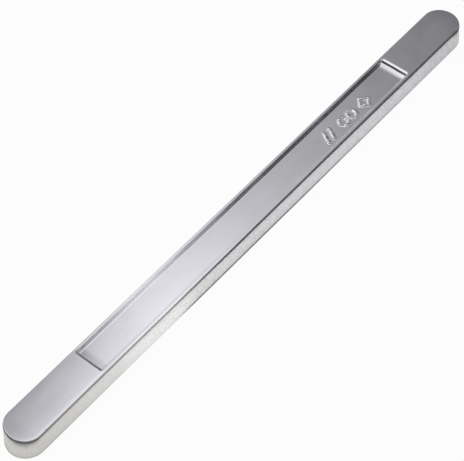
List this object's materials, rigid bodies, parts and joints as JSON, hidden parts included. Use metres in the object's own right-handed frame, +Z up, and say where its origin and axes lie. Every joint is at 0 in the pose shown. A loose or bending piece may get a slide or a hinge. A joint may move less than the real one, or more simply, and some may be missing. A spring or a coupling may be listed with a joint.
{
  "type": "solder bar",
  "caption": "Cast bar of tin-lead solder with half-round ends and a long shallow panel sunk into its upper face.",
  "frame": {"origin": "middle of the flat underside, on the floor", "axes": "+X along the bar, +Y across it, +Z up out of the face with the sunk panel"},
  "size_m": [0.345, 0.0212, 0.0135],
  "materials": {
    "solder": "satin, as cast"
  },
  "bodies": {
    "root": {"solder_bar": "solder"}
  },
  "joints": []
}
